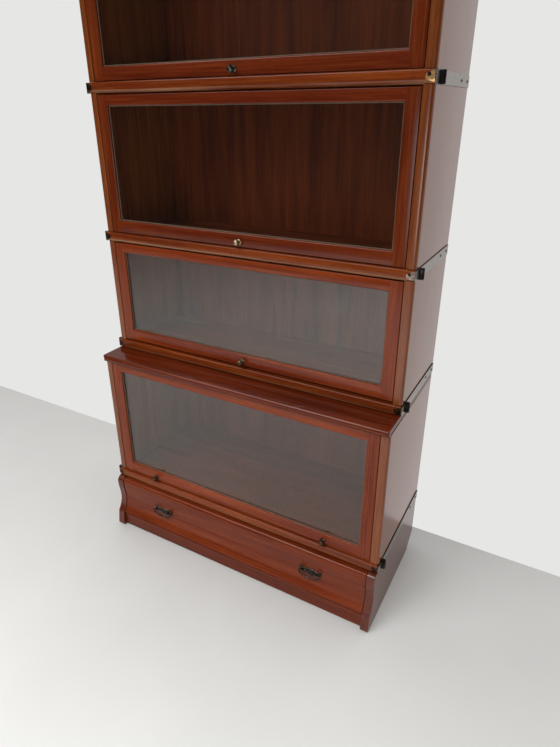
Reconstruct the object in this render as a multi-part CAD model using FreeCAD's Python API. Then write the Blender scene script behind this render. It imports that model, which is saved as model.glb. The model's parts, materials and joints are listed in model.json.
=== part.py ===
import FreeCAD, Part
import math
import os

# Sectional barrister bookcase: a drawer base, four glazed book sections and a cornice unit.
# Millimetres. X runs across the front, +Y to the wall, +Z up. The origin is on the floor,
# at the middle of the width and of the whole depth.

# ---- driving dimensions -------------------------------------------------------------------
CASE_W = 864.0          # width over the side boards
SIDE_T = 22.0           # side boards
UPPER_D = 278.0         # depth of the upper sections and the cornice unit
DEEP_D = 348.0          # depth of the lowest book section
FOOT_REACH = 40.0       # how far the base's feet stand in front of the lowest section
BASE_H = 175.0          # height of the drawer base
DEEP_H = 422.0          # height of the lowest book section, with its ledge board
SHORT_H = 320.0         # height of the second book section
TALL_H = 369.0          # height of the third and fourth book sections
CORNICE_H = 60.0        # height of the cornice unit

HALF_W = CASE_W / 2
INNER_X = HALF_W - SIDE_T
BACK_Y = (DEEP_D + FOOT_REACH) / 2
UPPER_Y = BACK_Y - UPPER_D      # front face of the upper sections
DEEP_Y = BACK_Y - DEEP_D        # front face of the lowest section

# ---- joint rails, bands and caps ------------------------------------------------------------
RAIL_H = 25.0           # moulded rail across the bottom front of every unit
RAIL_PROUD = 6.0        # rail in front of the side boards
RAIL_BACK = 14.0        # rail behind the front face
RAIL_UNDER_R = 9.0      # rounded underside
RAIL_TOP_R = 3.0
CAP_T = 1.5             # sheet metal of the corner caps
CAP_L = 18.0            # cap along the rail
CAP_SCREW_IN = 11.0     # cap screw from the outer end
CAP_SCREW_UP = 16.0
BAND_T = 2.2            # steel band along each side
BAND_H = 24.0
BAND_INSET = 3.0        # band's ends from the planes of the front and the back
KNUCKLE_R = 6.5         # rolled knuckle on each band
KNUCKLE_OUT = 12.0      # knuckle beyond the side board
KNUCKLE_RIGHT_Y = 27.0  # middle of the right knuckle, behind the front face
KNUCKLE_LEFT_Y = 6.5    # middle of the left knuckle, behind the front face
SCREW_REAR = (75.0, 22.0)   # band screws, from the back
SCREW_HEAD_R = 3.6
SCREW_BALL_R = 4.6      # sphere that the domed head is part of
SCREW_L = 12.0
SCREW_ROOT = 0.2        # shank inside its head
SCREW_SHANK_R = 1.8
SCREW_HOLE_R = 1.9

# ---- carcase boards --------------------------------------------------------------------------
LEDGE_T = 18.0          # ledge board on the lowest section
LEDGE_NOSE = 11.0       # its nosing in front of the section
SHELF_T = 16.0
SHELF_LIFT = 3.0        # underside of a shelf above the bottom of its unit
BACK_T = 10.0
BACK_INSET = 1.0
BACK_SEAMS = (-150.0, 0.0, 150.0)
SEAM_V = 1.5            # V groove between back boards
EDGE_R = 2.0            # rounded front arrises of the side boards

# ---- doors -----------------------------------------------------------------------------------
DOOR_T = 18.0
DOOR_SET = 1.0          # door face behind the side boards' front
DOOR_SIDE_GAP = 1.5
DOOR_FOOT_GAP = 2.0     # door above its rail
HIGH_FOOT_GAP = 6.0     # the same under the second section's door
DOOR_TOP_GAP = 3.6      # door below whatever is above it
STILE_W = 31.0
TOP_RAIL_W = 25.0
FOOT_RAIL_W = 32.0
LIP_T = 7.0             # wood in front of the glass
REBATE_W = 6.0
FRAME_BEVEL = 3.0       # bevel round the glass opening
GLASS_T = 3.0
GLASS_GAP = 0.5
TENON_L = 17.0
TENON_T = 6.0
TENON_UP = 7.0          # foot rail's tenon above the door's bottom edge
TENON_CLEAR = 2.0       # tenons from the rebate
TENON_TOP_H = 4.0       # height of the top rail's tenon, under the pin
PIVOT_DOWN = 11.0       # pivot below the door's top edge
PIN_R = 3.0
PIN_FIT = 0.05
PIN_REACH = 12.0
PIN_ROOT = 0.3          # pin inside its shoe
PIN_SPARE = 0.5         # hole beyond the pin's end
SHOE_L = 24.0           # runner shoe in the side board's groove
SHOE_H = 7.8
SHOE_OUT = 0.7          # shoe from the door's edge
SHOE_AHEAD = 5.0        # shoe in front of the pivot
SHOE_CLEAR = 0.3
GROOVE_DEPTH = 6.0
KNOB_UP = 12.0          # knob above the door's bottom edge
KNOB_PAIR_X = 280.0
KNOB_SHANK_R = 2.4
KNOB_SHANK_L = 16.0
# radius and distance from the door's face, negative in front
KNOB_STEM = [(3.6, -8.0), (3.6, -4.2), (7.5, -1.8), (7.5, 0.0)]
KNOB_BULGE = (9.2, -12.6)
KNOB_RIM = (6.6, -17.2)
KNOB_CROWN = (4.2, -18.5)
KNOB_TIP = (1.2, -19.3)

# ---- drawer base -----------------------------------------------------------------------------
NECK_R = 17.5           # round shoulder at the top of the serpentine front
NECK_AHEAD = 3.0        # its centre in front of the lowest section
SWELL_DROP = 29.25      # height of each half of the shallow S below the shoulder
SWELL_BACK = 2.75       # how far each half of the S falls back
FLARE_Z = 52.0          # corner where the foot begins
FLARE_Y = 33.0          # that corner in front of the lowest section
TOE_R = 9.0             # rounded toe
SKIRTING_H = 45.0       # rear lower corner cut away to clear a skirting board
SKIRTING_D = 50.0
DRAWER_SET = 2.0        # drawer front behind the sides' serpentine edge
DRAWER_Z0 = 50.0
DRAWER_Z1 = 171.0
DRAWER_FRONT_BACK = 8.0     # back of the drawer front, behind the face of the lowest section
DRAWER_SIDE_T = 12.0
DRAWER_SIDE_Z0 = 54.3
DRAWER_SIDE_Z1 = 161.0
DRAWER_LEN = 310.0
DRAWER_SIDE_GAP = 3.0   # drawer side from the case
DRAWER_GROOVE = 4.0     # bottom panel let into the sides
DRAWER_PANEL_UP = 6.0   # bottom panel above the sides' lower edge
DRAWER_PANEL_T = 6.0
DRAWER_BACK_T = 10.0
DRAWER_STOP = 1.0       # runners behind the drawer front
PLINTH_TOP = 48.0
PLINTH_BOTTOM = 3.0
PLINTH_Y = 31.0         # plinth face in front of the lowest section
PLINTH_T = 20.0
FLOOR_BOARD_Z = 38.0
RUNNER_W = 18.0
RUNNER_H = 8.0
RUNNER_Z = 46.0

# ---- drawer handles --------------------------------------------------------------------------
HANDLE_X = 253.0
HANDLE_Z = 103.0
# half of the plate's edge, clockwise from the middle of its top
PLATE_EDGE = [(0, 11), (8, 12), (15, 9.5), (21.5, 11), (28.5, 15), (34.5, 13.5), (31, 9), (33.5, 3),
              (31, -4), (25, -7), (19, -6), (13, -9.5), (6, -12), (0, -14)]
PLATE_T = 2.0
POST_X = 22.5
POST_UP = 5.0
POST_R = 4.0
POST_TIP = 3.0          # post in front of the bail's axis
BAIL_Y = 24.5           # bail's axis in front of the lowest section
BAIL_ARM_X = 29.6
BAIL_R = 2.4
BAIL_PIN_R = 1.7
BAIL_PIN_L = 11.0
BAIL_DROP = 19.0
BAIL_BEND = 7.0
BAIL_SWELL_R = 1.4      # swelling in the middle of the bar
BAIL_SWELL_L = 9.0

# ---- cornice unit ----------------------------------------------------------------------------
CORNICE_EDGE_H = 12.0   # square edge of the top board
CORNICE_COVE_H = 12.0   # cove below it
CORNICE_STEPS = 6

CUT = 1.0               # cutters beyond the wood
CUT_AHEAD = 60.0        # cutters in front of the lowest section

V = FreeCAD.Vector
os.makedirs("parts", exist_ok=True)


# ---- small makers ------------------------------------------------------------------------------
def box(x0, x1, y0, y1, z0, z1):
    """A board between two corners."""
    return Part.makeBox(x1 - x0, y1 - y0, z1 - z0, V(x0, y0, z0))


def rod(radius, start, direction, length):
    """A round bar from a point along a direction."""
    return Part.makeCylinder(radius, length, V(*start), V(*direction))


def along_x(points, x0, x1):
    """A prism along X from an outline in Y and Z; a triple of points is an arc."""
    edges = []
    for piece in points:
        corners = [V(x0, y, z) for y, z in piece]
        if len(corners) == 3:
            edges.append(Part.Arc(*corners).toShape())
        else:
            edges.append(Part.LineSegment(*corners).toShape())
    face = Part.Face(Part.Wire(edges))
    return face.extrude(V(x1 - x0, 0, 0))


def mirror_x(shape):
    return shape.mirror(V(0, 0, 0), V(1, 0, 0))


def both_sides(shape):
    """A piece and its mirror image on the other side of the case."""
    return [shape, mirror_x(shape)]


def write(name, solids):
    """Write one node: one solid, or a group of separate solids."""
    if not isinstance(solids, list):
        solids = [solids]
    solids = [one for shape in solids for one in shape.Solids]
    node = solids[0] if len(solids) == 1 else Part.makeCompound(solids)
    node.exportStep("parts/" + name + ".step")


def arc_mid(centre, radius, angle_deg):
    """The point of a circle in Y and Z at an angle from +Y towards +Z."""
    angle = math.radians(angle_deg)
    return (centre[0] + radius * math.cos(angle), centre[1] + radius * math.sin(angle))


# ---- pieces found at the bottom of every unit ---------------------------------------------------
def rail_outline(front_y, z0, inset):
    """Section of the joint rail: flat back and top, rounded nose, well rounded underside."""
    face = front_y - RAIL_PROUD + inset
    back = front_y + RAIL_BACK
    top = z0 + RAIL_H - inset
    foot = z0 + inset
    under = (face + RAIL_UNDER_R - inset, foot + RAIL_UNDER_R - inset)
    upper = (face + RAIL_TOP_R - inset, top - RAIL_TOP_R + inset)
    under_r = RAIL_UNDER_R - inset
    upper_r = RAIL_TOP_R - inset
    return [
        [(back, foot), (back, top)],
        [(back, top), (upper[0], top)],
        [(upper[0], top), arc_mid(upper, upper_r, 135), (face, upper[1])],
        [(face, upper[1]), (face, under[1])],
        [(face, under[1]), arc_mid(under, under_r, 225), (under[0], foot)],
        [(under[0], foot), (back, foot)],
    ]


def cap_screw_place(front_y, z0):
    return (HALF_W - CAP_SCREW_IN, front_y - RAIL_PROUD, z0 + CAP_SCREW_UP)


def joint_rail(front_y, z0):
    """Full moulding between the caps, and a thinner tongue under each cap."""
    rail = along_x(rail_outline(front_y, z0, 0.0), -HALF_W + CAP_L, HALF_W - CAP_L)
    tongue = along_x(rail_outline(front_y, z0, CAP_T), -HALF_W + CAP_T, HALF_W - CAP_T)
    x, y, z = cap_screw_place(front_y, z0)
    hole = rod(SCREW_HOLE_R, (x, y - CUT, z), (0, 1, 0), SCREW_L + CUT)
    return rail.fuse(tongue).removeSplitter().cut(hole).cut(mirror_x(hole))


def corner_cap(front_y, z0):
    """Sheet metal cap over the right end of a joint rail."""
    outer = along_x(rail_outline(front_y, z0, 0.0), HALF_W - CAP_L, HALF_W)
    inner = along_x(rail_outline(front_y, z0, CAP_T), HALF_W - CAP_L - CUT, HALF_W - CAP_T)
    x, y, z = cap_screw_place(front_y, z0)
    hole = rod(SCREW_HOLE_R, (x, y - CUT, z), (0, 1, 0), SCREW_L + CUT)
    return outer.cut(inner).cut(hole)


def band_screw_places(z0):
    return [(HALF_W + BAND_T, BACK_Y - rear, z0 + BAND_H / 2) for rear in SCREW_REAR]


def side_band(front_y, z0, knuckle_y):
    """Right-hand steel band with its rolled knuckle."""
    band = box(HALF_W, HALF_W + BAND_T, front_y - BAND_INSET, BACK_Y - BAND_INSET, z0, z0 + BAND_H)
    y = front_y + knuckle_y
    stem_x = HALF_W + KNUCKLE_OUT - KNUCKLE_R
    stem = box(HALF_W + BAND_T, stem_x, y - KNUCKLE_R, y + KNUCKLE_R, z0, z0 + BAND_H)
    roll = rod(KNUCKLE_R, (stem_x, y, z0), (0, 0, 1), BAND_H)
    roll = roll.cut(box(0, HALF_W + BAND_T, y - 2 * KNUCKLE_R, y + 2 * KNUCKLE_R,
                        z0 - CUT, z0 + BAND_H + CUT))
    band = band.fuse(stem).fuse(roll).removeSplitter()
    for x, screw_y, z in band_screw_places(z0):
        band = band.cut(rod(SCREW_HOLE_R, (x - BAND_T - CUT, screw_y, z), (1, 0, 0), BAND_T + 2 * CUT))
    return band


def screw(place, direction):
    """Dome-headed screw; direction points out of the wood."""
    point = [p - SCREW_L * d for p, d in zip(place, direction)]
    shank = rod(SCREW_SHANK_R, point, direction, SCREW_L + SCREW_ROOT)
    sink = math.sqrt(SCREW_BALL_R ** 2 - SCREW_HEAD_R ** 2)
    centre = [p - sink * d for p, d in zip(place, direction)]
    ball = Part.makeSphere(SCREW_BALL_R, V(*centre))
    head = ball.common(rod(SCREW_HEAD_R, place, direction, SCREW_BALL_R))
    return shank.fuse(head).removeSplitter()


def joint_screws(front_y, z0):
    screws = [screw(place, (1, 0, 0)) for place in band_screw_places(z0)]
    screws.append(screw(cap_screw_place(front_y, z0), (0, -1, 0)))
    return [one for right in screws for one in both_sides(right)]


def side_board(front_y, z0, z1, pivot_z):
    """Right side board: rounded front arrises, notch for the rail, groove for the door's shoe."""
    outline = Part.makePolygon([
        V(INNER_X, front_y + EDGE_R, z0), V(INNER_X + EDGE_R, front_y, z0),
        V(HALF_W - EDGE_R, front_y, z0), V(HALF_W, front_y + EDGE_R, z0),
        V(HALF_W, BACK_Y, z0), V(INNER_X, BACK_Y, z0), V(INNER_X, front_y + EDGE_R, z0)])
    board = Part.Face(outline).extrude(V(0, 0, z1 - z0))
    for x in (INNER_X + EDGE_R, HALF_W - EDGE_R):
        board = board.fuse(rod(EDGE_R, (x, front_y + EDGE_R, z0), (0, 0, 1), z1 - z0))
    board = board.removeSplitter()
    board = board.cut(box(0, HALF_W + CUT, front_y - CUT, front_y + RAIL_BACK, z0 - CUT, z0 + RAIL_H))
    for x, y, z in band_screw_places(z0):
        board = board.cut(rod(SCREW_HOLE_R, (x - SCREW_L, y, z), (1, 0, 0), SCREW_L + CUT))
    if pivot_z:
        half = SHOE_H / 2 + SHOE_CLEAR
        groove_y = front_y + DOOR_SET + DOOR_T / 2 - SHOE_AHEAD - SHOE_CLEAR
        groove = box(INNER_X - CUT, INNER_X + GROOVE_DEPTH, groove_y, BACK_Y - BACK_T - BACK_INSET,
                     pivot_z - half, pivot_z + half)
        board = board.cut(groove)
    return board


def back_boards(z0, z1):
    """Upright back boards with a V groove at each seam."""
    edges = (-INNER_X,) + BACK_SEAMS + (INNER_X,)
    front = BACK_Y - BACK_INSET - BACK_T
    boards = []
    for left, right in zip(edges[:-1], edges[1:]):
        board = box(left, right, front, front + BACK_T, z0, z1)
        for seam in (left, right):
            if abs(seam) < INNER_X:
                groove = Part.makePolygon([V(seam - SEAM_V, front, z0), V(seam, front + SEAM_V, z0),
                                           V(seam + SEAM_V, front, z0), V(seam - SEAM_V, front, z0)])
                board = board.cut(Part.Face(groove).extrude(V(0, 0, z1 - z0)))
        boards.append(board)
    return boards


# ---- doors -------------------------------------------------------------------------------------
def knob(x, face_y, z):
    """Turned metal knob with a foot flange, a waist and a domed head, on its shank."""
    straight = KNOB_STEM + [(KNOB_SHANK_R, 0), (KNOB_SHANK_R, KNOB_SHANK_L), (0, KNOB_SHANK_L),
                            (0, KNOB_TIP[1]), KNOB_TIP]
    edges = [Part.LineSegment(V(*a, 0), V(*b, 0)).toShape()
             for a, b in zip(straight[:-1], straight[1:])]
    edges.append(Part.Arc(V(*KNOB_TIP, 0), V(*KNOB_CROWN, 0), V(*KNOB_RIM, 0)).toShape())
    edges.append(Part.Arc(V(*KNOB_RIM, 0), V(*KNOB_BULGE, 0), V(*KNOB_STEM[0], 0)).toShape())
    body = Part.Face(Part.Wire(edges)).revolve(V(0, 0, 0), V(0, 1, 0), 360)
    body.translate(V(x, face_y, z))
    return body


def door(name, front_y, z0, ceiling_z, knob_xs):
    """One lift-up door: frame, glass, beads, knobs, and the runner shoes it pivots on."""
    x1 = INNER_X - DOOR_SIDE_GAP
    y0 = front_y + DOOR_SET
    y1 = y0 + DOOR_T
    z1 = ceiling_z - DOOR_TOP_GAP
    open_x = x1 - STILE_W
    open_z0 = z0 + FOOT_RAIL_W
    open_z1 = z1 - TOP_RAIL_W
    pivot_y = y0 + DOOR_T / 2
    pivot_z = z1 - PIVOT_DOWN
    glass_y = y0 + LIP_T
    bead_y = glass_y + GLASS_T

    # cutters: the rebate behind the lip and the bevel round the opening
    rebate = box(-open_x - REBATE_W, open_x + REBATE_W, glass_y, y1 + CUT,
                 open_z0 - REBATE_W, open_z1 + REBATE_W)
    bevel_wires = []
    for y, grow in ((y0 - CUT, FRAME_BEVEL + CUT), (y0 + FRAME_BEVEL, 0.0)):
        bevel_wires.append(Part.makePolygon([
            V(-open_x - grow, y, open_z0 - grow), V(open_x + grow, y, open_z0 - grow),
            V(open_x + grow, y, open_z1 + grow), V(-open_x - grow, y, open_z1 + grow),
            V(-open_x - grow, y, open_z0 - grow)]))
    bevel = Part.makeLoft(bevel_wires, True, True)

    # frame: stiles run full height, rails are tenoned between them
    tenon_y = pivot_y - TENON_T / 2
    members = []
    tenons = []
    top_tenon_z = open_z1 + REBATE_W + TENON_CLEAR
    for low, high, tenon_z0, tenon_z1 in (
            (z0, open_z0, z0 + TENON_UP, open_z0 - REBATE_W - TENON_CLEAR),
            (open_z1, z1, top_tenon_z, top_tenon_z + TENON_TOP_H)):
        rail = box(-open_x, open_x, y0, y1, low, high)
        tenon = box(-open_x - TENON_L, open_x + TENON_L, tenon_y, tenon_y + TENON_T,
                    tenon_z0, tenon_z1)
        tenons.append(tenon)
        rail = rail.cut(rebate).cut(bevel).fuse(tenon).removeSplitter()
        members.append(rail)
    stile = box(open_x, x1, y0, y1, z0, z1).cut(rebate).cut(bevel)
    for tenon in tenons:
        stile = stile.cut(tenon)
    hole_l = PIN_REACH + PIN_SPARE
    pin_hole = rod(PIN_R + PIN_FIT, (x1 - hole_l, pivot_y, pivot_z), (1, 0, 0), hole_l + CUT)
    stile = stile.cut(pin_hole)
    members += both_sides(stile)
    knobs = []
    for knob_x in knob_xs:
        knob_z = z0 + KNOB_UP
        bore = rod(KNOB_SHANK_R, (knob_x, y0 - CUT, knob_z), (0, 1, 0), KNOB_SHANK_L + CUT)
        members = [member.cut(bore) for member in members]
        knobs.append(knob(knob_x, y0, knob_z))
    write(name + "_frame", members)
    write(name + "_knobs" if len(knobs) > 1 else name + "_knob", knobs)

    grow = REBATE_W - GLASS_GAP
    write(name + "_glass", box(-open_x - grow, open_x + grow, glass_y, bead_y,
                               open_z0 - grow, open_z1 + grow))
    beads = []
    for low, high in ((open_z0 - REBATE_W, open_z0), (open_z1, open_z1 + REBATE_W)):
        beads.append(box(-open_x - REBATE_W, open_x + REBATE_W, bead_y, y1, low, high))
    beads += both_sides(box(open_x, open_x + REBATE_W, bead_y, y1, open_z0, open_z1))
    write(name + "_glazing_beads", beads)

    shoe = box(x1 + SHOE_OUT, INNER_X + GROOVE_DEPTH - SHOE_CLEAR, pivot_y - SHOE_AHEAD,
               pivot_y - SHOE_AHEAD + SHOE_L, pivot_z - SHOE_H / 2, pivot_z + SHOE_H / 2)
    pin = rod(PIN_R, (x1 - PIN_REACH, pivot_y, pivot_z), (1, 0, 0), PIN_REACH + SHOE_OUT + PIN_ROOT)
    write(name + "_runner_shoes", both_sides(shoe.fuse(pin).removeSplitter()))
    return pivot_z


# ---- book sections ------------------------------------------------------------------------------
# name, height, front face, board on top, gap under the door, knob places
SECTIONS = [
    ("section_1", DEEP_H, DEEP_Y, LEDGE_T, DOOR_FOOT_GAP, (-KNOB_PAIR_X, KNOB_PAIR_X)),
    ("section_2", SHORT_H, UPPER_Y, 0.0, HIGH_FOOT_GAP, (0.0,)),
    ("section_3", TALL_H, UPPER_Y, 0.0, DOOR_FOOT_GAP, (0.0,)),
    ("section_4", TALL_H, UPPER_Y, 0.0, DOOR_FOOT_GAP, (0.0,)),
]

bands = []
caps = []
screws = []


def joint_fittings(front_y, z0):
    """Bands, caps and screws at the bottom of one unit."""
    bands.append(side_band(front_y, z0, KNUCKLE_RIGHT_Y))
    bands.append(mirror_x(side_band(front_y, z0, KNUCKLE_LEFT_Y)))
    caps.extend(both_sides(corner_cap(front_y, z0)))
    screws.extend(joint_screws(front_y, z0))


def shelf(front_y, z0):
    return box(-INNER_X, INNER_X, front_y + RAIL_BACK, BACK_Y - BACK_T - BACK_INSET,
               z0 + SHELF_LIFT, z0 + SHELF_LIFT + SHELF_T)


def book_section(name, z0, height, front_y, cover_t, foot_gap, knob_xs):
    number = name.split("_")[1]
    z1 = z0 + height - cover_t
    pivot_z = door("door_" + number, front_y, z0 + RAIL_H + foot_gap, z1, knob_xs)
    board = side_board(front_y, z0, z1, pivot_z)
    write(name + "_side_right", board)
    write(name + "_side_left", mirror_x(board))
    write(name + "_joint_rail", joint_rail(front_y, z0))
    write(name + "_shelf_board", shelf(front_y, z0))
    write(name + "_back_boards", back_boards(z0, z1))
    joint_fittings(front_y, z0)


def ledge_board(z_top):
    """Board that covers the lowest section, with a half-round nosing in front."""
    half = LEDGE_T / 2
    nose = DEEP_Y - LEDGE_NOSE
    low = z_top - LEDGE_T
    outline = [
        [(BACK_Y, low), (BACK_Y, z_top)],
        [(BACK_Y, z_top), (nose + half, z_top)],
        [(nose + half, z_top), (nose, low + half), (nose + half, low)],
        [(nose + half, low), (BACK_Y, low)],
    ]
    return along_x(outline, -HALF_W, HALF_W)


# ---- drawer base --------------------------------------------------------------------------------
def serpentine(offset):
    """Front edge of the base, top to flare, as arcs in Y and Z; offset moves it back."""
    y = DEEP_Y + offset
    shoulder = (y - NECK_AHEAD, BASE_H - NECK_R)
    swell = (shoulder[0] - NECK_R, shoulder[1])
    radius = (SWELL_DROP ** 2 + SWELL_BACK ** 2) / (2 * SWELL_BACK)
    turn = math.degrees(math.asin(SWELL_DROP / radius))
    mid_s = (swell[0] + SWELL_BACK, swell[1] - SWELL_DROP)
    waist = (mid_s[0] + SWELL_BACK, mid_s[1] - SWELL_DROP)
    upper_centre = (swell[0] + radius, swell[1])
    lower_centre = (waist[0] - radius, waist[1])
    flare = (y - FLARE_Y, FLARE_Z)
    rise = waist[1] - flare[1]
    reach = waist[0] - flare[0]
    flare_r = (rise ** 2 + reach ** 2) / (2 * reach)
    flare_turn = math.degrees(math.asin(rise / flare_r))
    flare_centre = (waist[0] - flare_r, waist[1])
    return [
        [(shoulder[0], BASE_H), arc_mid(shoulder, NECK_R, 135), swell],
        [swell, arc_mid(upper_centre, radius, 180 + turn / 2), mid_s],
        [mid_s, arc_mid(lower_centre, radius, turn / 2), waist],
        [waist, arc_mid(flare_centre, flare_r, -flare_turn / 2), flare],
    ]


def base_side():
    """Right side of the base: serpentine front, foot with a rounded toe, skirting cut behind."""
    front = serpentine(0.0)
    flare = front[-1][-1]
    toe_centre = (DEEP_Y - FOOT_REACH + TOE_R, TOE_R)
    toe = (DEEP_Y - FOOT_REACH, TOE_R)
    toe_end = (toe_centre[0], 0.0)
    outline = front + [
        [flare, toe],
        [toe, arc_mid(toe_centre, TOE_R, 225), toe_end],
        [toe_end, (BACK_Y - SKIRTING_D, 0.0)],
        [(BACK_Y - SKIRTING_D, 0.0), (BACK_Y, SKIRTING_H)],
        [(BACK_Y, SKIRTING_H), (BACK_Y, BASE_H)],
        [(BACK_Y, BASE_H), front[0][0]],
    ]
    return along_x(outline, INNER_X, HALF_W)


def drawer_front_outline(offset):
    """Serpentine block from the drawer's front face back to the drawer box, in Y and Z."""
    front = serpentine(offset)
    back = DEEP_Y + DRAWER_FRONT_BACK
    outline = front + [
        [front[-1][-1], (back, FLARE_Z)],
        [(back, FLARE_Z), (back, BASE_H)],
        [(back, BASE_H), front[0][0]],
    ]
    return outline


def handle_plate_outline(x_mid, y0, y1):
    """Bat-wing plate, seen from the front: horned ends, dipped top, pointed skirt."""
    ring = PLATE_EDGE + [(-x, z) for x, z in reversed(PLATE_EDGE[1:-1])]
    points = [V(x_mid + x, y0, HANDLE_Z + z) for x, z in ring]
    return Part.Face(Part.makePolygon(points + [points[0]])).extrude(V(0, y1 - y0, 0))


def handle(x_mid):
    """Plate that follows the drawer front, with two posts bored for the bail."""
    far = DEEP_Y + DRAWER_FRONT_BACK
    skin = along_x(drawer_front_outline(DRAWER_SET - PLATE_T), x_mid - 2 * POST_X, x_mid + 2 * POST_X)
    wood = along_x(drawer_front_outline(DRAWER_SET), x_mid - 3 * POST_X, x_mid + 3 * POST_X)
    plate = skin.cut(wood).common(handle_plate_outline(x_mid, DEEP_Y - CUT_AHEAD, far))
    post_z = HANDLE_Z + POST_UP
    bail_y = DEEP_Y - BAIL_Y
    for side in (-1, 1):
        x = x_mid + side * POST_X
        post = rod(POST_R, (x, bail_y - POST_TIP, post_z), (0, 1, 0), BAIL_Y + POST_TIP)
        plate = plate.fuse(post.cut(wood))
    plate = plate.removeSplitter()
    bore = rod(BAIL_PIN_R + PIN_FIT, (x_mid - 2 * POST_X, bail_y, post_z), (1, 0, 0), 4 * POST_X)
    return plate.cut(bore)


def bail(x_mid):
    """Hanging bail: two pins into the posts, two arms, and a bar with a swelling in the middle."""
    y = DEEP_Y - BAIL_Y
    z = HANDLE_Z + POST_UP
    low = z - BAIL_DROP
    bend = BAIL_BEND
    left = x_mid - BAIL_ARM_X
    right = x_mid + BAIL_ARM_X
    turn = bend * (1 - math.cos(math.radians(45)))
    path = Part.Wire([
        Part.LineSegment(V(left, y, z), V(left, y, low + bend)).toShape(),
        Part.Arc(V(left, y, low + bend), V(left + turn, y, low + turn),
                 V(left + bend, y, low)).toShape(),
        Part.LineSegment(V(left + bend, y, low), V(right - bend, y, low)).toShape(),
        Part.Arc(V(right - bend, y, low), V(right - turn, y, low + turn),
                 V(right, y, low + bend)).toShape(),
        Part.LineSegment(V(right, y, low + bend), V(right, y, z)).toShape(),
    ])
    section = Part.Wire([Part.Circle(V(left, y, z), V(0, 0, 1), BAIL_R).toShape()])
    bar = path.makePipeShell([section], True, False)
    thick = BAIL_R + BAIL_SWELL_R
    swelling = Part.makeCone(BAIL_R, thick, BAIL_SWELL_L, V(x_mid - BAIL_SWELL_L, y, low), V(1, 0, 0))
    swelling = swelling.fuse(Part.makeCone(thick, BAIL_R, BAIL_SWELL_L, V(x_mid, y, low), V(1, 0, 0)))
    bar = bar.fuse(swelling)
    for x, side in ((left, 1), (right, -1)):
        bar = bar.fuse(Part.makeSphere(BAIL_R, V(x, y, z)))
        bar = bar.fuse(rod(BAIL_PIN_R, (x, y, z), (side, 0, 0), BAIL_PIN_L))
    return bar.removeSplitter()


def drawer_base():
    side = base_side()
    back_front = BACK_Y - BACK_T - BACK_INSET
    plinth_y = DEEP_Y - PLINTH_Y
    write("base_side_right", side)
    write("base_side_left", mirror_x(side))
    write("base_plinth_rail", box(-INNER_X, INNER_X, plinth_y, plinth_y + PLINTH_T,
                                  PLINTH_BOTTOM, PLINTH_TOP))
    write("base_back_board", box(-INNER_X, INNER_X, back_front, back_front + BACK_T,
                                 SKIRTING_H, BASE_H))
    write("base_floor_board", box(-INNER_X, INNER_X, plinth_y + PLINTH_T, back_front,
                                  FLOOR_BOARD_Z, RUNNER_Z))
    runner = box(INNER_X - RUNNER_W, INNER_X, DEEP_Y + DRAWER_FRONT_BACK + DRAWER_STOP, back_front,
                 RUNNER_Z, RUNNER_Z + RUNNER_H)
    write("drawer_runners", both_sides(runner))

    door_x = INNER_X - DOOR_SIDE_GAP
    front = along_x(drawer_front_outline(DRAWER_SET), -door_x, door_x)
    back = DEEP_Y + DRAWER_FRONT_BACK
    trim = box(-door_x, door_x, DEEP_Y - CUT_AHEAD, back, DRAWER_Z0, DRAWER_Z1)
    foot_y = DEEP_Y + DRAWER_SET - FLARE_Y
    foot = box(-door_x, door_x, foot_y, back, DRAWER_Z0, FLARE_Z)
    write("drawer_front", front.fuse(foot).removeSplitter().common(trim))

    side_x = INNER_X - DRAWER_SIDE_GAP
    rear = back + DRAWER_LEN
    panel_z = DRAWER_SIDE_Z0 + DRAWER_PANEL_UP
    panel_x = side_x - DRAWER_SIDE_T + DRAWER_GROOVE
    panel_top = panel_z + DRAWER_PANEL_T
    panel = box(-panel_x, panel_x, back, rear, panel_z, panel_top)
    drawer_side = box(side_x - DRAWER_SIDE_T, side_x, back, rear, DRAWER_SIDE_Z0, DRAWER_SIDE_Z1)
    write("drawer_sides", both_sides(drawer_side.cut(panel)))
    write("drawer_bottom", panel)
    write("drawer_back", box(-side_x + DRAWER_SIDE_T, side_x - DRAWER_SIDE_T, rear - DRAWER_BACK_T, rear,
                             panel_top, DRAWER_SIDE_Z1))
    write("drawer_handle_plates", [handle(-HANDLE_X), handle(HANDLE_X)])
    write("bail_handle_left", bail(-HANDLE_X))
    write("bail_handle_right", bail(HANDLE_X))


# ---- cornice unit -------------------------------------------------------------------------------
def cornice_unit(z0):
    """Top unit: side boards, a frieze, back, and a top board with a cove under a square edge."""
    over = KNUCKLE_OUT
    top = z0 + CORNICE_H
    edge_z = top - CORNICE_EDGE_H
    cove_z = edge_z - CORNICE_COVE_H
    board = side_board(UPPER_Y, z0, cove_z, None)
    write("cornice_joint_rail", joint_rail(UPPER_Y, z0))
    frieze = box(-INNER_X, INNER_X, UPPER_Y + EDGE_R, UPPER_Y + RAIL_BACK, z0 + RAIL_H, cove_z)
    rear = box(-INNER_X, INNER_X, BACK_Y - BACK_T - BACK_INSET, BACK_Y - BACK_INSET, z0, cove_z)
    write("cornice_frame", both_sides(board) + [frieze, rear])

    # the moulding grows in steps of a quarter circle from the case to the overhang
    slab = box(-HALF_W - over, HALF_W + over, UPPER_Y - over, BACK_Y, edge_z, top)
    for step in range(CORNICE_STEPS):
        angle = math.radians(90.0 * (step + 1) / CORNICE_STEPS)
        grow = over * (1 - math.cos(angle))
        low = cove_z + CORNICE_COVE_H * step / CORNICE_STEPS
        high = cove_z + CORNICE_COVE_H * (step + 1) / CORNICE_STEPS
        slab = slab.fuse(box(-HALF_W - grow, HALF_W + grow, UPPER_Y - grow, BACK_Y, low, high))
    write("cornice_top_board", slab.removeSplitter())
    joint_fittings(UPPER_Y, z0)


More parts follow.
